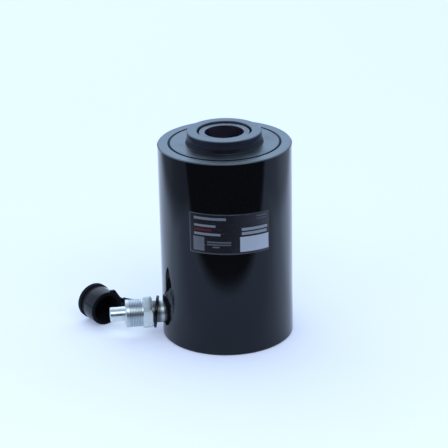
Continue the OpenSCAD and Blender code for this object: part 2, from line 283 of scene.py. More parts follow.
def round_edges(piece, width, steps):
    """Bevels the edges that are sharper than 35 degrees."""
    modify(piece, "BEVEL", width=width, segments=steps, limit_method="ANGLE",
           angle_limit=math.radians(35.0), use_clamp_overlap=True)


def shade(piece, angle=38.0):
    """Smooth shading that keeps edges sharper than an angle."""
    pick(piece)
    bpy.ops.object.shade_smooth_by_angle(angle=math.radians(angle))


def dress(piece, material):
    """Gives a piece one material."""
    piece.data.materials.clear()
    piece.data.materials.append(material)


def rounded_outline(corners, steps=5):
    """Corner points (x, y, radius) as a closed outline with each corner rounded."""
    outline = []
    for i, (x, y, radius) in enumerate(corners):
        here = Vector((x, y))
        back = Vector(corners[i - 1][:2]) - here
        ahead = Vector(corners[(i + 1) % len(corners)][:2]) - here
        if radius <= 0:
            outline.append(here)
            continue
        half = back.angle(ahead) / 2
        run = min(radius / math.tan(half), 0.49 * back.length, 0.49 * ahead.length)
        centre = here + (back.normalized() + ahead.normalized()).normalized() * (run / math.cos(half))
        start = here + back.normalized() * run - centre
        end = here + ahead.normalized() * run - centre
        first = math.atan2(start.y, start.x)
        turn = (math.atan2(end.y, end.x) - first + math.pi) % math.tau - math.pi
        for k in range(steps + 1):
            angle = first + turn * k / steps
            outline.append(centre + start.length * Vector((math.cos(angle), math.sin(angle))))
    return outline


def drawn_row(name, points):
    """Extrudes one corner along a row of points and stays in edit mode."""
    deselect_all()
    bpy.ops.mesh.primitive_plane_add(size=0.002)
    piece = name_piece(name)
    bpy.ops.object.mode_set(mode="EDIT")
    bpy.ops.mesh.merge(type="CENTER")
    bpy.ops.transform.translate(value=points[0])
    for a, b in zip(points, points[1:]):
        bpy.ops.mesh.extrude_region_move(
            TRANSFORM_OT_translate={"value": [q - p for p, q in zip(a, b)]})
    return piece


def turned_piece(name, outline, steps=96, closed=True):
    """Spins an outline of radius and height about the local Z axis."""
    points = [(radius, 0.0, height) for radius, height in map(Vector, outline)]
    piece = drawn_row(name, points)
    if closed:
        ends = [Vector(points[0]), Vector(points[-1])]
        select_vertices(piece, lambda co: min((co - end).length for end in ends) < 1e-7)
        bpy.ops.mesh.edge_face_add()
    bpy.ops.mesh.select_all(action="SELECT")
    bpy.ops.mesh.spin(steps=steps, angle=math.tau, center=(0, 0, 0), axis=(0, 0, 1))
    close_seams(piece, 2e-7)
    return piece


def fill_row(curve, points):
    """Replaces a curve's splines by one row of straight stretches."""
    curve.splines.clear()
    row = curve.splines.new("POLY")
    row.points.add(len(points) - 1)
    for slot, point in zip(row.points, points):
        slot.co = (*point, 1.0)
    return row


def swept_piece(name, points, **bevel):
    """A mesh swept along a row of points, with the curve's bevel settings."""
    deselect_all()
    bpy.ops.curve.primitive_nurbs_path_add()
    path = name_piece(name)
    fill_row(path.data, points)
    path.data.dimensions = "3D"
    path.data.use_fill_caps = True
    for key, value in bevel.items():
        setattr(path.data, key, value)
    bpy.ops.object.convert(target="MESH")
    piece = name_piece(name)
    close_seams(piece)
    return piece


def swept_strip(name, points, wide, thick, soft):
    """A flat strip with rounded edges along a row of points, its width kept upright."""
    deselect_all()
    bpy.ops.curve.primitive_bezier_circle_add(radius=0.001)
    profile = name_piece("strip_profile")
    x, y = thick / 2, wide / 2
    outline = rounded_outline([(-x, -y, soft), (x, -y, soft), (x, y, soft), (-x, y, soft)], 4)
    fill_row(profile.data, [(*point, 0.0) for point in outline]).use_cyclic_u = True
    piece = swept_piece(name, points, twist_mode="Z_UP", bevel_mode="OBJECT", bevel_object=profile)
    bpy.data.objects.remove(profile, do_unlink=True)
    return piece


# Nodes

class NodeSheet:
    """Adds nodes to one tree and links them."""

    def __init__(self, tree):
        self.tree = tree

    def node(self, kind, **settings):
        made = self.tree.nodes.new(kind)
        for key, value in settings.items():
            setattr(made, key, value)
        return made

    def feed(self, socket, source):
        """Links a socket to another, or sets its own value."""
        if isinstance(source, bpy.types.NodeSocket):
            self.tree.links.new(source, socket)
        elif socket.type == "RGBA" and len(source) == 3:
            socket.default_value = (*source, 1.0)
        else:
            socket.default_value = source

    def fill(self, node, **values):
        """Feeds a node's inputs by name, with an underscore for a space."""
        for key, value in values.items():
            self.feed(node.inputs[key.replace("_", " ")], value)
        return node.outputs

    def math(self, operation, *values, clamp=False):
        made = self.node("ShaderNodeMath", operation=operation, use_clamp=clamp)
        for socket, value in zip(made.inputs, values):
            self.feed(socket, value)
        return made.outputs[0]

    def plus(self, a, b):
        return self.math("ADD", a, b)

    def minus(self, a, b):
        return self.math("SUBTRACT", a, b)

    def times(self, a, b):
        return self.math("MULTIPLY", a, b)

    def reach(self, a, b):
        """Distance from the origin of a point in a plane."""
        return self.math("SQRT", self.plus(self.times(a, a), self.times(b, b)))

    def place(self):
        return self.node("ShaderNodeTexCoord").outputs["Object"]

    def split(self, vector):
        return self.fill(self.node("ShaderNodeSeparateXYZ"), Vector=vector)[:3]

    def stretch(self, vector, scale=(1, 1, 1), turn=(0, 0, 0), shift=(0, 0, 0)):
        made = self.node("ShaderNodeMapping")
        return self.fill(made, Vector=vector, Location=shift, Rotation=turn, Scale=scale)[0]

    def noise(self, vector, scale, detail=2.0, roughness=0.5):
        made = self.node("ShaderNodeTexNoise")
        return self.fill(made, Vector=vector, Scale=scale, Detail=detail, Roughness=roughness)[0]

    def step(self, value, low, high, to_low=0.0, to_high=1.0):
        made = self.node("ShaderNodeMapRange", interpolation_type="SMOOTHSTEP")
        for socket, entry in zip(made.inputs, (value, low, high, to_low, to_high)):
            self.feed(socket, entry)
        return made.outputs[0]

    def blend(self, factor, a, b):
        """A mix of two colours."""
        made = self.node("ShaderNodeMix", data_type="RGBA")
        for index, entry in ((0, factor), (6, a), (7, b)):
            self.feed(made.inputs[index], entry)
        return made.outputs[2]

    def mixed(self, factor, a, b):
        """A mix of two numbers."""
        made = self.node("ShaderNodeMix", data_type="FLOAT")
        for index, entry in ((0, factor), (2, a), (3, b)):
            self.feed(made.inputs[index], entry)
        return made.outputs[0]

    def group(self, tree, **values):
        return self.fill(self.node("ShaderNodeGroup", node_tree=tree), **values)

    def bump(self, height, strength, distance, **normal):
        made = self.node("ShaderNodeBump")
        return self.fill(made, Height=height, Strength=strength, Distance=distance, **normal)[0]


def start_group(name, inputs, outputs):
    """A node group, whose inputs without a default are vectors; returns its sheet, inputs and output node."""
    tree = bpy.data.node_groups.new(name, "ShaderNodeTree")
    for label, default in inputs.items():
        kind = "NodeSocketVector" if default is None else "NodeSocketFloat"
        socket = tree.interface.new_socket(label, in_out="INPUT", socket_type=kind)
        if default is not None:
            socket.default_value = default
    for label in outputs:
        tree.interface.new_socket(label, in_out="OUTPUT", socket_type="NodeSocketFloat")
    sheet = NodeSheet(tree)
    return sheet, sheet.node("NodeGroupInput").outputs, sheet.node("NodeGroupOutput")


def start_material(name):
    """A material with its sheet and its Principled shader."""
    material = bpy.data.materials.new(name)
    material.use_nodes = True
    sheet = NodeSheet(material.node_tree)
    return material, sheet, material.node_tree.nodes["Principled BSDF"]


# Shared effects, each built once

@functools.cache
def handling_marks():
    """Faint smears and dust specks, as two masks."""
    sheet, inner, out = start_group("handling_marks", {"Place": None, "Scale": 30.0}, ("Smears", "Specks"))
    broad = sheet.noise(inner["Place"], inner["Scale"], 4.0, 0.6)
    fine = sheet.noise(inner["Place"], sheet.times(inner["Scale"], 45.0), 1.0)
    sheet.fill(out, Smears=sheet.step(broad, 0.42, 0.72), Specks=sheet.step(fine, 0.70, 0.78))
    return sheet.tree


@functools.cache
def turning_marks():
    """Fine rings left by the lathe, about an axis through a radius value."""
    sheet, inner, out = start_group(
        "turning_marks", {"Place": None, "Radius": 0.0, "Pitch": 0.0004}, ("Height", "Tone"))
    phase = sheet.math("DIVIDE", inner["Radius"], inner["Pitch"])
    wander = sheet.noise(inner["Place"], 90.0)
    wave = sheet.math("SINE", sheet.times(sheet.plus(phase, wander), math.tau))
    rows = sheet.fill(sheet.node("ShaderNodeCombineXYZ"), X=sheet.times(phase, 0.37))[0]
    streaks = sheet.noise(rows, 1.0, 3.0, 0.7)
    sheet.fill(out, Height=sheet.math("MULTIPLY_ADD", wave, 0.5, streaks), Tone=streaks)
    return sheet.tree


@functools.cache
def edge_band():
    """Mask of a round edge at one radius and height."""
    sheet, inner, out = start_group("edge_band", {
        "Radius": 0.0, "Height": 0.0, "Edge Radius": 0.05, "Edge Height": 0.1, "Width": 0.001}, ("Mask",))
    reach = sheet.reach(sheet.minus(inner["Radius"], inner["Edge Radius"]),
                        sheet.minus(inner["Height"], inner["Edge Height"]))
    sheet.fill(out, Mask=sheet.step(reach, inner["Width"], sheet.times(inner["Width"], 0.4)))
    return sheet.tree


@functools.cache
def printed_box():
    """Mask of a box on a sticker, between two shares of its width and of its height."""
    sheet, inner, out = start_group("printed_box", {
        "U": 0.0, "V": 0.0, "Left": 0.0, "Right": 0.0, "Low": 0.0, "High": 0.0, "Edge": 0.004}, ("Mask",))

    def between(value, start, end):
        rises = [sheet.step(inner[value], sheet.minus(inner[side], inner["Edge"]),
                            sheet.plus(inner[side], inner["Edge"])) for side in (start, end)]
        return sheet.minus(*rises)

    across, along = between("U", "Left", "Right"), between("V", "Low", "High")
    sheet.fill(out, Mask=sheet.math("MULTIPLY", across, along, clamp=True))
    return sheet.tree


@functools.cache
def moulded_grain():
    """Fine pebble of moulded rubber, with broad soft waves."""
    sheet, inner, out = start_group("moulded_grain", {"Place": None, "Scale": 1800.0}, ("Height", "Bloom"))
    pebble = sheet.noise(inner["Place"], inner["Scale"], 2.0, 0.6)
    wave = sheet.noise(inner["Place"], sheet.times(inner["Scale"], 0.06))
    sheet.fill(out, Height=sheet.math("MULTIPLY_ADD", wave, 0.6, pebble), Bloom=sheet.step(wave, 0.45, 0.7))
    return sheet.tree


def edge_mask(sheet, radius, height, edge_radius, edge_height, width):
    """Places the mask of one round edge."""
    return sheet.group(edge_band(), Radius=radius, Height=height, Edge_Radius=edge_radius,
                       Edge_Height=edge_height, Width=width)["Mask"]


# Finishes

def tint(colour, share):
    """A colour made lighter or darker."""
    return [min(1.0, share * c) for c in colour]


def upright_polar(sheet):
    """Place, radius from the plunger axis, and height."""
    place = sheet.place()
    x, y, z = sheet.split(place)
    return place, sheet.reach(x, y), z


def port_polar(sheet):
    """Place, radius from the coupler axis, and distance out along it."""
    place = sheet.place()
    x, y, z = sheet.split(place)
    return place, sheet.reach(y, sheet.minus(z, PORT_HEIGHT)), sheet.times(x, -1.0)


def barrel_finish(settings):
    """Gloss black enamel with smears, a black finished turned face on top, and painted shade in the groove by
    the gland.
    """
    material, sheet, shader = start_material("black_enamel")
    place, radius, height = upright_polar(sheet)
    marks = sheet.group(handling_marks(), Place=place, Scale=28.0)
    rings = sheet.group(turning_marks(), Place=place, Radius=radius, Pitch=0.0006)
    top = sheet.step(height, BARREL_TOP - 0.0009, BARREL_TOP - 0.0005)
    # Painted shade in the groove between the barrel's top face and the gland
    joint_shade = sheet.step(radius, GLAND_RADIUS + 0.0012, GLAND_RADIUS + 0.0007)
    coat, bare, rough = settings.enamel_colour, settings.machined_colour, settings.enamel_roughness
    enamel = sheet.blend(sheet.times(marks["Smears"], 0.5), coat, tint(coat, 1.5))
    dusty = sheet.blend(sheet.times(marks["Specks"], 0.10), enamel, (0.20, 0.21, 0.22))
    steel = sheet.blend(rings["Tone"], tint(bare, 0.88), tint(bare, 1.12))
    steel = sheet.blend(joint_shade, steel, PAINTED_SHADE)
    worn = sheet.mixed(sheet.times(marks["Smears"], 0.6), rough, rough + 0.07)
    peel = sheet.bump(sheet.noise(place, 420.0), 0.05, 0.00008)
    lathe = sheet.bump(sheet.times(rings["Height"], top), 0.10, 0.00012, Normal=peel)
    sheet.fill(shader, Base_Color=sheet.blend(top, dusty, steel), Metallic=top, Normal=lathe,
               Roughness=sheet.mixed(top, worn, 0.27), IOR=1.45, Specular_Tint=COOL_SHEEN)
    return material


def turned_steel_finish(name, colour, roughness, pitch, polar, edges=(), painted_shade_edges=(), painted_bore_light=None,
                        sheen=PLAIN_SHEEN):
    """Black finished or plated turned steel with lathe rings, smears, rubbed edges, painted shade at given
    edges and painted light on a bore wall.
    """
    material, sheet, shader = start_material(name)
    place, radius, along = polar(sheet)
    marks = sheet.group(handling_marks(), Place=place, Scale=45.0)
    rings = sheet.group(turning_marks(), Place=place, Radius=sheet.plus(radius, along), Pitch=pitch)
    tone = sheet.blend(rings["Tone"], tint(colour, 0.84), tint(colour, 1.16))
    tone = sheet.blend(sheet.times(marks["Smears"], 0.35), tone, tint(colour, 0.72))
    for edge in edges:
        patches = sheet.step(sheet.noise(place, 170.0), 0.35, 0.65, 0.35, 1.0)
        rubbed = sheet.times(edge_mask(sheet, radius, along, *edge), patches)
        tone = sheet.blend(rubbed, tone, tint(colour, 1.6))
    # Painted shade at the given edges, in joints and recesses
    for edge in painted_shade_edges:
        tone = sheet.blend(edge_mask(sheet, radius, along, *edge), tone, PAINTED_SHADE)
    # Painted light: a purple-grey tone on the bore wall for the light inside the hole
    if painted_bore_light:
        within, bore_light_colour = painted_bore_light
        tone = sheet.blend(sheet.step(radius, within, within - 0.0002), tone, bore_light_colour)
    rough = sheet.mixed(marks["Smears"], roughness, roughness + 0.10)
    sheet.fill(shader, Base_Color=tone, Metallic=1.0, Specular_Tint=sheen,
               Roughness=sheet.math("MULTIPLY_ADD", rings["Tone"], 0.06, rough),
               Normal=sheet.bump(rings["Height"], 0.10, 0.00010))
    return material


def plunger_finish(settings):
    """Blackened plunger side under a bare turned rim."""
    material, sheet, shader = start_material("blackened_plunger")
    place, radius, height = upright_polar(sheet)
    marks = sheet.group(handling_marks(), Place=place, Scale=45.0)
    rings = sheet.group(turning_marks(), Place=place, Radius=radius, Pitch=0.0005)
    rim = sheet.times(sheet.step(height, RIM_TOP - 0.0007, RIM_TOP - 0.0004),
                      sheet.step(radius, SADDLE_RADIUS + 0.0001, SADDLE_RADIUS + 0.0004))
    bare, black = settings.machined_colour, settings.oxide_colour
    steel = sheet.blend(rings["Tone"], tint(bare, 0.86), tint(bare, 1.06))
    oxide = sheet.blend(sheet.times(marks["Smears"], 0.6), black, tint(black, 1.6))
    side = sheet.mixed(marks["Smears"], 0.14, 0.22)
    sheet.fill(shader, Base_Color=sheet.blend(rim, oxide, steel), Metallic=rim, Specular_Tint=COOL_SHEEN,
               Roughness=sheet.mixed(rim, side, 0.30), Normal=sheet.bump(rings["Height"], 0.08, 0.00010))
    return material


def zinc_finish(colour):
    """Bright zinc plate with a slight blue cast, soft mottling and fine lathe rings."""
    material, sheet, shader = start_material("bright_zinc")
    place, radius, along = port_polar(sheet)
    marks = sheet.group(handling_marks(), Place=place, Scale=120.0)
    rings = sheet.group(turning_marks(), Place=place, Radius=sheet.plus(radius, along), Pitch=0.00045)
    cloud = sheet.noise(place, 210.0, 3.0)
    tone = sheet.blend(sheet.step(cloud, 0.35, 0.7), tint(colour, 0.90), colour)
    tone = sheet.blend(sheet.times(marks["Smears"], 0.25), tone,
                       (0.52 * colour[0], 0.55 * colour[1], 0.58 * colour[2]))
    # Painted shade: the collar and its thread valleys darkened to blue-grey, the neck a little darker all
    # over, and the neck from beside the ring to the hexagon strongly darkened as the ring's painted shadow
    collar = sheet.times(sheet.step(along, THREAD_START - 0.0002, THREAD_START + 0.0002),
                         sheet.step(along, THREAD_END - 0.0004, THREAD_END - 0.0010))
    valley = sheet.times(collar, sheet.step(radius, THREAD_RADIUS - 0.00004, THREAD_RADIUS - 0.00016))
    neck = sheet.step(along, NECK_END + 0.0002, NECK_END - 0.0002)
    ring_shadow = sheet.times(neck, sheet.step(along, NECK_END - 0.0083, NECK_END - 0.0054))
    collar_shade = sheet.math("MULTIPLY_ADD", valley, 0.50, sheet.times(collar, 0.28))
    tone = sheet.blend(sheet.math("MULTIPLY_ADD", neck, 0.20, collar_shade), tone, (0.16, 0.22, 0.27))
    tone = sheet.blend(sheet.times(ring_shadow, 0.88), tone, tint(colour, 0.12))
    land = sheet.times(sheet.step(along, THREAD_START, THREAD_START + 0.0005),
                       sheet.step(along, THREAD_END + 0.0004, THREAD_END))
    dull = sheet.math("MULTIPLY_ADD", neck, 0.20, sheet.times(land, 0.09))
    sheet.fill(shader, Base_Color=tone, Metallic=1.0,
               Roughness=sheet.plus(dull, sheet.mixed(marks["Smears"], 0.21, 0.31)),
               Normal=sheet.bump(rings["Height"], 0.06, 0.00006))
    return material


def cup_mouth(sheet, settings, place):
    """Mask of the dust cap's inside, of the flat lip round it and of its flange."""
    back = place.inverted()
    local = sheet.stretch(sheet.place(), turn=back.to_euler(), shift=back.to_translation())
    x, y, along = sheet.split(local)
    radius = sheet.reach(x, y)
    hole, cup, flange = settings.hole_radius, settings.cup_radius, settings.flange_radius
    end, step, length = settings.end_thickness, settings.flange_thickness, settings.length
    inside = sheet.times(sheet.step(radius, hole + 0.0006, hole + 0.0001),
                         sheet.step(along, end - 0.0006, end - 0.0001))
    lip = sheet.times(sheet.step(radius, cup, cup - 0.0006),
                      sheet.step(along, length - 0.0007, length - 0.0002))
    edge = sheet.times(sheet.step(radius, flange + 0.0012, flange + 0.0006),
                       sheet.step(along, step + 0.0056, step + 0.0026, 0.0, 0.95))
    return sheet.math("MAXIMUM", sheet.math("MAXIMUM", inside, lip), edge)


def rubber_finish(name, colour, roughness, grain, cup=None):
    """Moulded rubber with a fine pebble and a pale bloom, with matt painted shade at a cup's mouth and
    flange.
    """
    material, sheet, shader = start_material(name)
    place = sheet.place()
    skin = sheet.group(moulded_grain(), Place=place, Scale=grain)
    marks = sheet.group(handling_marks(), Place=place, Scale=60.0)
    tone = sheet.blend(sheet.times(skin["Bloom"], 0.6), colour, tint(colour, 1.9))
    tone = sheet.blend(sheet.times(marks["Specks"], 0.06), tone, (0.13, 0.14, 0.16))
    rough = sheet.mixed(marks["Smears"], roughness, roughness + 0.12)
    if cup:
        # Painted shade inside the cup, on its lip and beside its flange, made matt there
        mouth = cup_mouth(sheet, *cup)
        tone = sheet.blend(mouth, tone, PAINTED_SHADE)
        rough = sheet.mixed(mouth, rough, 0.90)
    sheet.fill(shader, Base_Color=tone, Roughness=rough, Normal=sheet.bump(skin["Height"], 0.10, 0.00006),
               IOR=1.37, Specular_Tint=COOL_SHEEN)
    return material


def polymer_finish(name, colour, roughness, fleck):
    """Satin seal and bearing material with flecks of its filler."""
    material, sheet, shader = start_material(name)
    place = sheet.place()
    marks = sheet.group(handling_marks(), Place=place, Scale=80.0)
    weave = sheet.noise(sheet.stretch(place, (1.0, 1.0, 4.0)), fleck, 3.0, 0.7)
    tone = sheet.blend(sheet.step(weave, 0.35, 0.7), tint(colour, 0.78), tint(colour, 1.15))
    sheet.fill(shader, Base_Color=tone, Normal=sheet.bump(weave, 0.10, 0.00006),
               Roughness=sheet.mixed(marks["Smears"], roughness, roughness + 0.15))
    return material


def spring_wire_finish(colour):
    """Oiled spring wire with drawing lines and darker scale."""
    material, sheet, shader = start_material("oiled_spring_wire")
    place = sheet.place()
    scale = sheet.noise(place, 260.0, 4.0, 0.65)
    lines = sheet.noise(sheet.stretch(place, (1.0, 1.0, 9.0)), 900.0, 1.0)
    clean = sheet.step(scale, 0.4, 0.65)
    sheet.fill(shader, Base_Color=sheet.blend(clean, tint(colour, 0.55), tint(colour, 1.2)), Metallic=1.0,
               Roughness=sheet.mixed(clean, 0.45, 0.27), Normal=sheet.bump(lines, 0.10, 0.00006))
    return material


# Left, right, low and high shares of the label, and brightness of each printed box
PRINT_BOXES = (
    (0.618, 0.990, 0.06, 0.435, 1.0), (0.618, 0.990, 0.435, 0.69, 0.06),
    (0.640, 0.975, 0.585, 0.655, 0.62), (0.640, 0.965, 0.480, 0.550, 0.62),
    (0.050, 0.190, 0.07, 0.42, 0.30), (0.062, 0.455, 0.85, 0.915, 0.42),
    (0.065, 0.330, 0.675, 0.73, 0.48), (0.062, 0.385, 0.465, 0.525, 0.48),
    (0.225, 0.510, 0.285, 0.325, 0.24), (0.225, 0.510, 0.225, 0.260, 0.24),
    (0.288, 0.374, 0.165, 0.200, 0.24), (0.825, 0.965, 0.900, 0.930, 0.22),
    (0.825, 0.965, 0.835, 0.860, 0.18),
)


def label_finish(settings):
    """Satin black film with a border, blank panels and ruled lines."""
    material, sheet, shader = start_material("label_film")
    place = sheet.place()
    x, y, z = sheet.split(place)
    film, ink = settings.film_colour, settings.print_colour
    start, end = settings.start_angle, settings.end_angle
    angle = sheet.math("ARCTAN2", x, sheet.times(y, -1.0))
    fall = math.tan(settings.tilt) * BARREL_RADIUS
    level = sheet.math("MULTIPLY_ADD", sheet.minus(angle, (start + end) / 2), fall, z)
    u = sheet.math("DIVIDE", sheet.minus(angle, start), end - start)
    v = sheet.math("DIVIDE", sheet.minus(level, settings.low), settings.high - settings.low)

    def box(left, right, low, high):
        return sheet.group(printed_box(), U=u, V=v, Left=left, Right=right, Low=low, High=high)["Mask"]

    tone = sheet.blend(sheet.step(u, 0.40, 0.95), film, tint(film, 2.6))
    rim = sheet.math("SUBTRACT", 1.0, box(0.016, 0.990, 0.034, 0.976), clamp=True)
    tone = sheet.blend(sheet.times(rim, sheet.step(u, 0.95, 0.45, 0.25, 1.0)), tone, tint(ink, 0.16))
    # Blank panel with a dark heading, grey block at the left, and bars
    for *sides, share in PRINT_BOXES:
        tone = sheet.blend(box(*sides), tone, tint(ink, share))
    tone = sheet.blend(box(0.07, 0.28, 0.575, 0.625), tone, (0.16, 0.022, 0.026))
    scratches = sheet.noise(sheet.stretch(place, (1.0, 1.0, 6.0), (0.3, 0.2, 0.5)), 160.0, 3.0)
    scuff = sheet.step(scratches, 0.6, 0.75)
    tone = sheet.blend(sheet.times(scuff, 0.06), tone, (0.3, 0.3, 0.32))
    sheet.fill(shader, Base_Color=tone, Roughness=sheet.mixed(scuff, 0.24, 0.36), IOR=1.42,
               Normal=sheet.bump(sheet.noise(place, 500.0), 0.05, 0.00006))
    return material


# Pieces

class CYLINDER_OT_body_finish(bpy.types.Operator):
    """Gives the barrel, gland, plunger, saddle and center tube their finishes"""

    bl_idname = "cylinder.body_finish"
    bl_label = "Finish body"

    def execute(self, context):
        settings = context.scene.cylinder_barrel
        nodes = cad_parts
        steel = settings.machined_colour
        dress(nodes["cylinder_body"], barrel_finish(settings))
        # The gland gets painted shade in its groove against the barrel's top
        dress(nodes["gland_nut"], turned_steel_finish(
            "black_gland_steel", tint(steel, 1.10), 0.31, 0.0006, upright_polar,
            painted_shade_edges=((GLAND_RADIUS - 0.0005, BARREL_TOP - 0.0005, 0.0014),), sheen=COOL_SHEEN))
        # The saddle gets painted shade where it sits below the plunger's rim
        dress(nodes["saddle"], turned_steel_finish(
            "black_saddle_steel", steel, 0.30, 0.0005, upright_polar,
            edges=((SADDLE_RADIUS - 0.0014, SADDLE_TOP - 0.0003, 0.0010),
                   (SADDLE_BORE, SADDLE_TOP - 0.0002, 0.0007)),
            painted_shade_edges=((SADDLE_RADIUS, SADDLE_TOP - 0.0022, 0.0014),),
            # Painted light on the saddle's bore wall
            painted_bore_light=(SADDLE_BORE, (0.20, 0.18, 0.24)), sheen=COOL_SHEEN))
        dress(nodes["plunger"], plunger_finish(settings))
        dress(nodes["center_tube"], turned_steel_finish(
            "honed_tube_steel", (0.34, 0.30, 0.36), 0.30, 0.0008, upright_polar))
        return {"FINISHED"}


class CYLINDER_OT_inner_finish(bpy.types.Operator):
    """Gives the seals, rings, bearing, wiper and valve pieces their finishes"""

    bl_idname = "cylinder.inner_finish"
    bl_label = "Finish inner pieces"

    def execute(self, context):
        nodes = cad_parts
        nitrile = rubber_finish("nitrile_rubber", (0.0060, 0.0060, 0.0085), 0.36, 2400.0)
        urethane = polymer_finish("blue_urethane", (0.06, 0.10, 0.30), 0.30, 500.0)
        fluoro = polymer_finish("white_backup_polymer", (0.74, 0.73, 0.69), 0.45, 350.0)
        phenolic = polymer_finish("fabric_filled_resin", (0.30, 0.18, 0.08), 0.55, 1400.0)
        bronze = turned_steel_finish("turned_bronze", (0.60, 0.40, 0.18), 0.30, 0.0005, upright_polar)
        ball = turned_steel_finish("polished_ball_steel", (0.70, 0.71, 0.73), 0.08, 0.0009, port_polar)
        zinc = zinc_finish(context.scene.cylinder_coupler.zinc_colour)
        for name, material in (
                ("rod_wiper", nitrile), ("center_tube_o_ring", nitrile), ("piston_seal", urethane),
                ("plunger_inner_seal", urethane), ("piston_backup_ring", fluoro),
                ("center_tube_backup_ring", fluoro), ("piston_wear_ring", phenolic),
                ("plunger_inner_wear_ring", phenolic), ("gland_bearing", bronze), ("check_ball", ball),
                ("spring_retainer", zinc), ("port_nipple", zinc)):
            dress(nodes[name], material)
        return {"FINISHED"}


class CYLINDER_OT_label(bpy.types.Operator):
    """Sticks the blank label on the front of the barrel"""

    bl_idname = "cylinder.label"
    bl_label = "Add label"

    def execute(self, context):
        settings = context.scene.cylinder_label
        inner = BARREL_RADIUS + FILM_GAP
        wide = (settings.end_angle - settings.start_angle) * inner
        tall = settings.high - settings.low
        deselect_all()
        bpy.ops.mesh.primitive_plane_add(size=1.0)
        piece = name_piece("blank_label")
        bpy.ops.object.mode_set(mode="EDIT")
        bpy.ops.transform.resize(value=(wide, tall, 1.0))
        bpy.ops.mesh.bevel(offset=settings.corner, segments=6, affect="VERTICES")
        # Cuts the flat film into narrow strips that can follow the barrel
        for k in range(1, FILM_STRIPS):
            bpy.ops.mesh.select_all(action="SELECT")
            bpy.ops.mesh.bisect(plane_co=(wide * (k / FILM_STRIPS - 0.5), 0, 0), plane_no=(1, 0, 0))
        bpy.ops.object.mode_set(mode="OBJECT")
        middle = (settings.low + settings.high) / 2
        for vertex in piece.data.vertices:
            angle = (settings.start_angle + settings.end_angle) / 2 + vertex.co.x / inner
            height = middle + vertex.co.y - vertex.co.x * math.tan(settings.tilt)
            vertex.co = (inner * math.sin(angle), -inner * math.cos(angle), height)
        modify(piece, "SOLIDIFY", thickness=FILM_THICKNESS, offset=1.0)
        close_seams(piece)
        shade(piece)
        dress(piece, label_finish(settings))
        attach(piece, "barrel")
        return {"FINISHED"}


class CYLINDER_OT_coupler(bpy.types.Operator):
    """Turns the coupler half with its hexagon, helical thread, nose and bores"""

    bl_idname = "cylinder.coupler"
    bl_label = "Add coupler half"

    def collar_and_nose(self, pitch, depth):
        """The turned body from inside the hexagon to the tip, with the thread cut on its collar."""
        root = THREAD_START - 0.0030
        rows = rounded_outline([
            (NIPPLE_RADIUS, root, 0.0), (THREAD_RADIUS - 0.0006, root, 0.0), (THREAD_RADIUS, root, 0.0),
            (THREAD_RADIUS, THREAD_END, 0.0009), (NOSE_RADIUS, THREAD_END, 0.0004),
            (NOSE_RADIUS, COUPLER_TIP, 0.0008),
            # The bore with its valve seat, from the tip inwards
            (0.0032, COUPLER_TIP, 0.0003), (0.0032, 0.1015, 0.0), (0.0043, 0.1004, 0.0),
            (0.0043, 0.0856, 0.0), (0.0056, 0.0856, 0.0), (0.0056, 0.0760, 0.0),
            (NIPPLE_RADIUS, 0.0760, 0.0)], 4)
        # Fine rows along the thread let the helix rise from them
        fine = []
        for a, b in zip(rows, rows[1:] + rows[:1]):
            fine.append(a)
            if abs(a[0] - THREAD_RADIUS) < 1e-6 and abs(b[0] - THREAD_RADIUS) < 1e-6:
                count = int((b[1] - a[1]) / (pitch / 8))
                fine.extend(a.lerp(b, k / count) for k in range(1, count))
        piece = turned_piece("coupler_half", fine)
        for vertex in piece.data.vertices:
            x, y, z = vertex.co
            radius = math.hypot(x, y)
            if radius > THREAD_RADIUS - 0.00002 and z > root + 0.0001:
                turn = math.atan2(y, x) / math.tau
                wave = 0.5 - 0.5 * math.cos(math.tau * (z / pitch - turn))
                fade = max(0.0, min(1.0, (z - THREAD_START - 0.0004) / 0.0012,
                                    (THREAD_END - 0.0024 - z) / 0.0008))
                shrink = 1.0 - depth * wave ** 0.7 * fade / radius
                vertex.co = (x * shrink, y * shrink, z)
        return piece

    def hexagon(self):
        """The chamfered hexagon, drilled for the nipple."""
        deselect_all()
        bpy.ops.mesh.primitive_cylinder_add(
            vertices=6, radius=HEX_CORNER, depth=THREAD_START - HEX_START,
            location=(0, 0, (HEX_START + THREAD_START) / 2))
        piece = name_piece("coupler_hexagon")
        # The primitive starts with a corner on +Y, and the hexagon stands on a corner
        piece.rotation_euler[2] = math.radians(30.0)
        bpy.ops.object.transform_apply(location=True, rotation=True, scale=True)
        near, far = HEX_CORNER - 0.0016, HEX_CORNER + 0.0004
        blank = turned_piece("chamfer_blank", (
            (0.0, HEX_START - 0.0001), (near, HEX_START - 0.0001), (far, HEX_START + 0.0010),
            (far, THREAD_START - 0.0010), (near, THREAD_START + 0.0001), (0.0, THREAD_START + 0.0001)))
        cut_or_join(piece, blank, "INTERSECT")
        drill = turned_piece("hexagon_drill", (
            (0.0, HEX_START - 0.001), (NIPPLE_RADIUS, HEX_START - 0.001),
            (NIPPLE_RADIUS, THREAD_START + 0.001), (0.0, THREAD_START + 0.001)))
        cut_or_join(piece, drill, "DIFFERENCE")
        round_edges(piece, 0.00025, 2)
        return piece

    def execute(self, context):
        settings = context.scene.cylinder_coupler
        piece = self.collar_and_nose(settings.thread_pitch, settings.thread_depth)
        cut_or_join(piece, self.hexagon(), "UNION")
        close_seams(piece)
        put_in_place(piece, COUPLER_PLACE)
        shade(piece)
        dress(piece, bpy.data.materials["bright_zinc"])
        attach(piece, "barrel")
        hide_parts("coupler_body")
        return {"FINISHED"}


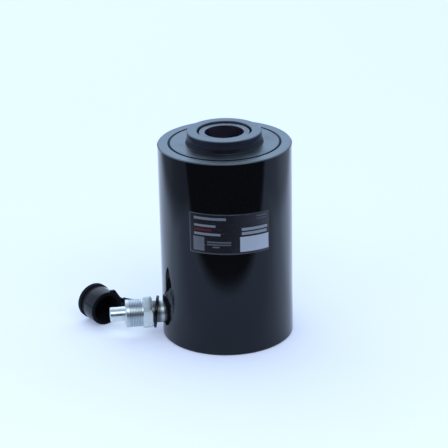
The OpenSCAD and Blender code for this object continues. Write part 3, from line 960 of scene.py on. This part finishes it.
class CYLINDER_OT_springs(bpy.types.Operator):
    """Winds the return spring and the check spring from round wire with closed ends"""

    bl_idname = "cylinder.springs"
    bl_label = "Wind springs"

    def wind(self, name, radius, wire, turns, low, high):
        """A coil about the local Z axis, its first and last turn closed."""
        pitch = 1.03 * wire
        steps = 48
        middle = (high - low - wire - 2 * pitch) / (turns - 2)
        points = []
        for k in range(int(turns * steps) + 1):
            a = k / steps
            if a < 1:
                rise = a * pitch
            elif a > turns - 1:
                rise = pitch + (turns - 2) * middle + (a - turns + 1) * pitch
            else:
                rise = pitch + (a - 1) * middle
            points.append((radius * math.cos(a * math.tau), radius * math.sin(a * math.tau),
                           low + wire / 2 + rise))
        return swept_piece(name, points, bevel_depth=wire / 2, bevel_resolution=6, twist_mode="MINIMUM")

    def execute(self, context):
        settings = context.scene.cylinder_springs
        finish = spring_wire_finish(settings.steel_colour)
        spring = self.wind(
            "return_coil", settings.return_radius, settings.return_wire, settings.return_turns, *RETURN_SPAN)
        check = self.wind(
            "check_coil", settings.check_radius, settings.check_wire, settings.check_turns, *CHECK_SPAN)
        put_in_place(check, COUPLER_PLACE)
        for piece in (spring, check):
            shade(piece, 60.0)
            dress(piece, finish)
            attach(piece, "barrel")
        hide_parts("return_spring")
        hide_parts("check_spring")
        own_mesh(spring)
        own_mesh(check)
        return {"FINISHED"}


class CYLINDER_OT_dust_cap(bpy.types.Operator):
    """Moulds the dust cap and its strap with the loose ring"""

    bl_idname = "cylinder.dust_cap"
    bl_label = "Add dust cap and strap"

    def pad(self, settings):
        """The pad beside the cup's mouth that carries the strap."""
        cup, length, rise = settings.cup_radius, settings.length, settings.strap_rise
        reach, foot = cup + PAD_REACH, length - PAD_DEPTH
        high, low = -settings.strap_width / 2 - rise, settings.strap_width / 2 - rise
        pad = drawn_row("strap_pad", [(x, y, foot) for x, y in (
            (-1.02 * cup, 0.33 * cup), (-0.99 * cup, 0.63 * cup), (-0.4 * cup, cup), (high, reach),
            (low, reach), (0.62 * cup, 0.81 * cup), (0.62 * cup, 0.46 * cup), (-0.85 * cup, 0.33 * cup))])
        bpy.ops.mesh.select_all(action="SELECT")
        bpy.ops.mesh.edge_face_add()
        bpy.ops.mesh.extrude_region_move(TRANSFORM_OT_translate={"value": (0.0, 0.0, PAD_THICKNESS)})
        bpy.ops.object.mode_set(mode="OBJECT")
        close_seams(pad)
        round_edges(pad, settings.edge_round, 3)
        bore = turned_piece("pad_bore", (
            (0.0, foot - 0.002), (PAD_ROOT, foot - 0.002), (PAD_ROOT, length + 0.002), (0.0, length + 0.002)),
            steps=CAP_STEPS, closed=False)
        cut_or_join(pad, bore, "DIFFERENCE")
        return pad

    def cup(self, settings, place):
        """The cup with its flange, groove and rounded lip, joined with the pad."""
        flange, cup, hole = settings.flange_radius, settings.cup_radius, settings.hole_radius
        length, end, soft = settings.length, settings.end_thickness, settings.edge_round
        step, groove = settings.flange_thickness, cup - 0.0006
        piece = turned_piece("rubber_cap", rounded_outline([
            (0.0, 0.0, 0.0), (flange, 0.0, 1.5 * soft), (flange, step, 0.8 * soft),
            (groove, step, 0.2 * soft), (groove, step + 0.0007, 0.2 * soft), (cup, step + 0.0011, 0.4 * soft),
            (cup, length, 1.4 * soft), (hole, length, 0.6 * soft), (hole, end, 2.0 * soft),
            (0.0, end, 0.0)], 6), steps=CAP_STEPS, closed=False)
        cut_or_join(piece, self.pad(settings), "UNION")
        close_seams(piece)
        put_in_place(piece, place)
        return piece

    def strap(self, settings, place):
        """The strap swept from the pad to the loose ring."""
        side = place.to_3x3() @ Vector((0.0, 1.0, 0.0))
        start = place @ Vector((0.0, settings.cup_radius + PAD_REACH, settings.length - 0.0019))
        start.z += settings.strap_rise
        turn = Matrix.Rotation(-settings.ring_turn, 4, "Z")
        end = Vector(settings.ring_place) + turn @ Vector((0.0, STRAP_END, 0.0))
        lead = start + 0.007 * side - Vector((0.0, 0.0, 0.0037))
        land = end + Vector((0.0, 0.015, -0.008))
        points = []
        for k in range(41):
            t = k / 40
            points.append((1 - t) ** 3 * start + 3 * (1 - t) ** 2 * t * lead
                          + 3 * (1 - t) * t ** 2 * land + t ** 3 * end)
        soft = settings.edge_round
        strip = swept_strip("rubber_strap", points, settings.strap_width, settings.strap_thickness, soft)
        ring = turned_piece("strap_ring", rounded_outline([
            (RING_INNER, -RING_HALF, soft), (RING_OUTER, -RING_HALF, soft),
            (RING_OUTER, RING_HALF, soft), (RING_INNER, RING_HALF, soft)]))
        put_in_place(ring, Matrix.Translation(settings.ring_place) @ turn
                     @ Matrix.Rotation(math.pi / 2 + settings.ring_tilt, 4, "Y"))
        cut_or_join(strip, ring, "UNION")
        close_seams(strip)
        return strip

    def execute(self, context):
        settings = context.scene.cylinder_cap
        place = (Matrix.Translation(settings.back_place) @ Matrix.Rotation(-settings.turn, 4, "Z")
                 @ Matrix.Rotation(math.pi / 2 + settings.tilt, 4, "Y"))
        rubber = rubber_finish("satin_cap_rubber", settings.rubber_colour, 0.15, 1500.0, (settings, place))
        for piece, node in ((self.cup(settings, place), "dust_cap"),
                            (self.strap(settings, place), "dust_cap_strap")):
            shade(piece)
            dress(piece, rubber)
            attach(piece, "cap")
            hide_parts(node)
        return {"FINISHED"}


# Stage

def toward_camera(sheet, x, y):
    """How far a point lies towards the camera, in plan."""
    return sheet.plus(sheet.times(x, TOWARD_X), sheet.times(y, TOWARD_Y))


class CYLINDER_OT_stage(bpy.types.Operator):
    """Lays the pale sheet, hangs the soft light and sets the camera"""

    bl_idname = "cylinder.stage"
    bl_label = "Set stage"

    def sheet_material(self, settings):
        """Pale sheet that ends in front of the cylinder for reflections only."""
        material, sheet, shader = start_material("pale_sheet")
        tree = material.node_tree
        tree.nodes.remove(shader)
        x, y = sheet.split(sheet.place())[:2]
        toward = toward_camera(sheet, x, y)
        front = sheet.step(toward, settings.sheet_front - 0.045, settings.sheet_front + 0.035)
        left = sheet.step(x, -0.280, -0.410, 0.0, 0.75)
        right = sheet.step(x, 0.300, 0.410, 0.0, 0.45)
        # Painted shade on the sheet just in front of the cylinder, seen only in reflections
        near = sheet.step(toward, 0.0, 0.10, 0.0, 0.34)
        dark = sheet.math("MAXIMUM", front, sheet.math("MAXIMUM", left, right))
        dark = sheet.math("MAXIMUM", dark, near)
        camera = sheet.node("ShaderNodeLightPath").outputs["Is Camera Ray"]
        mirrored = sheet.minus(1.0, camera)
        dark = sheet.times(dark, mirrored)
        # The matt part carries the shadow, the glow keeps it blue
        matt = sheet.fill(sheet.node("ShaderNodeBsdfDiffuse"),
                          Color=sheet.blend(dark, settings.sheet_colour, (0.015, 0.015, 0.015)))
        # Painted light: a brighter glow on the sheet behind the cylinder, seen only in reflections
        behind = sheet.times(mirrored, sheet.step(toward, -0.02, -0.10))
        lit = sheet.blend(behind, (0.148, 0.176, 0.28), (0.36, 0.43, 0.60))
        # Painted pool of light on the sheet below the coupler, seen only by the camera, lightening the
        # coupler's shadow
        painted_light_pool = edge_mask(sheet, x, y, -0.085, 0.017, 0.031)
        lit = sheet.blend(sheet.times(painted_light_pool, camera), lit, (0.31, 0.375, 0.47))
        glow = sheet.fill(sheet.node("ShaderNodeEmission"),
                          Color=sheet.blend(dark, lit, (0.0, 0.0, 0.0)), Strength=1.0)
        both = sheet.node("ShaderNodeAddShader")
        for socket, part in zip(both.inputs, (matt, glow)):
            sheet.feed(socket, part[0])
        sheet.fill(tree.nodes["Material Output"], Surface=both.outputs[0])
        return material

    def studio_world(self):
        """Soft studio: bright behind, a grey gap overhead, a dark room behind the camera."""
        world = bpy.data.worlds.new("studio")
        bpy.context.scene.world = world
        world.use_nodes = True
        sheet = NodeSheet(world.node_tree)
        x, y, z = sheet.split(sheet.node("ShaderNodeTexCoord").outputs["Generated"])
        arc = sheet.math("DIVIDE", sheet.math("ARCTAN2", z, toward_camera(sheet, x, y)), math.pi)
        ramp = sheet.node("ShaderNodeValToRGB")
        ramp.color_ramp.interpolation = "LINEAR"
        # Share of the half turn from the camera over the top, and brightness there
        stops = ((0.0, 0.03), (0.15, 0.05), (0.18, 0.85), (0.33, 0.85), (0.37, 0.42), (0.52, 0.42),
                 (0.57, 1.0), (1.0, 1.0))
        daylight = (0.77, 0.94, 1.25)
        elements = ramp.color_ramp.elements
        while len(elements) < len(stops):
            elements.new(0.5)
        for element, (at, level) in zip(elements, stops):
            element.position = at
            element.color = (*(level * c for c in daylight), 1.0)
        sheet.feed(ramp.inputs[0], arc)
        side = sheet.math("ABSOLUTE", sheet.plus(sheet.times(x, -TOWARD_Y), sheet.times(y, TOWARD_X)))
        tone = sheet.blend(sheet.step(side, 0.55, 0.95), ramp.outputs[0], daylight)
        camera = sheet.node("ShaderNodeLightPath").outputs["Is Camera Ray"]
        sheet.fill(world.node_tree.nodes["Background"], Strength=1.0,
                   Color=sheet.blend(camera, tone, (0.80, 0.96, 1.0)))

    def soft_light(self, name, place, target, size, watts, mirrored=True):
        """A rectangle of soft light, which shiny pieces mirror or not."""
        deselect_all()
        bpy.ops.object.light_add(type="AREA", location=place)
        lamp = name_piece(name)
        lamp.data.shape = "RECTANGLE"
        lamp.data.size, lamp.data.size_y = size
        lamp.data.energy = watts
        lamp.visible_glossy = mirrored
        lamp.rotation_euler = (Vector(target) - Vector(place)).to_track_quat("-Z", "Y").to_euler()

    def photo_camera(self, settings):
        """A camera that stands and looks as the photo's did."""
        deselect_all()
        bpy.ops.object.camera_add(location=(0, 0, 0))
        camera = name_piece("photo_camera")
        right = Vector((0.992670, -0.119393, -0.018747))
        up = Vector((0.061808, 0.368225, 0.927680))
        turn = Matrix((right, up, right.cross(up))).transposed().to_4x4()
        camera.matrix_world = Matrix.Translation(settings.camera_place) @ turn
        camera.data.lens = settings.camera_lens
        camera.data.sensor_width = 36.0
        camera.data.sensor_fit = "HORIZONTAL"
        camera.data.clip_start = 0.05
        return camera

    def execute(self, context):
        settings = context.scene.cylinder_stage
        deselect_all()
        bpy.ops.mesh.primitive_plane_add(size=12.0)
        sheet = name_piece("pale_sheet")
        dress(sheet, self.sheet_material(settings))
        self.studio_world()
        self.soft_light("front_softbox", (0.25, -1.20, 1.45), (0, 0, 0.08), (1.9, 0.8), settings.key_strength)
        self.soft_light("back_softbox", (-0.35, 1.5, 1.1), (0, 0, 0.1), (1.8, 0.8), 3.0)
        self.soft_light("low_fill", (-0.75, -0.60, 0.26), (-0.09, 0, 0.0), (0.5, 0.25), 0.9, mirrored=False)
        context.scene.camera = self.photo_camera(settings)
        context.scene.view_settings.view_transform = "Standard"
        return {"FINISHED"}


class CYLINDER_PT_panel(bpy.types.Panel):
    """Lists the cylinder's pieces and their settings"""

    bl_idname = "CYLINDER_PT_panel"
    bl_label = "Hollow plunger cylinder"
    bl_space_type = "VIEW_3D"
    bl_region_type = "UI"
    bl_category = "Cylinder"

    def draw(self, context):
        layout = self.layout
        for operator in OPERATORS:
            layout.operator(operator.bl_idname)
        for pointer, group in SETTINGS:
            box = layout.box()
            for entry in group.__annotations__:
                box.prop(getattr(context.scene, pointer), entry)


SETTINGS = (
    ("cylinder_barrel", BarrelSettings), ("cylinder_label", LabelSettings),
    ("cylinder_coupler", CouplerSettings), ("cylinder_cap", CapSettings),
    ("cylinder_springs", SpringSettings), ("cylinder_stage", StageSettings),
)
OPERATORS = (
    CYLINDER_OT_body_finish, CYLINDER_OT_inner_finish, CYLINDER_OT_label, CYLINDER_OT_coupler,
    CYLINDER_OT_springs, CYLINDER_OT_dust_cap, CYLINDER_OT_stage,
)


def register():
    """Registers the settings, operators and panel."""
    for pointer, group in SETTINGS:
        bpy.utils.register_class(group)
        setattr(bpy.types.Scene, pointer, bpy.props.PointerProperty(type=group))
    for operator in OPERATORS:
        bpy.utils.register_class(operator)
    bpy.utils.register_class(CYLINDER_PT_panel)


def unregister():
    """Removes what register added."""
    bpy.utils.unregister_class(CYLINDER_PT_panel)
    for operator in reversed(OPERATORS):
        bpy.utils.unregister_class(operator)
    for pointer, group in reversed(SETTINGS):
        delattr(bpy.types.Scene, pointer)
        bpy.utils.unregister_class(group)


def main():
    """Builds every piece in order."""
    register()
    bpy.ops.cylinder.body_finish()
    bpy.ops.cylinder.inner_finish()
    bpy.ops.cylinder.label()
    bpy.ops.cylinder.coupler()
    bpy.ops.cylinder.springs()
    bpy.ops.cylinder.dust_cap()
    bpy.ops.cylinder.stage()


if __name__ == "__main__":
    main()
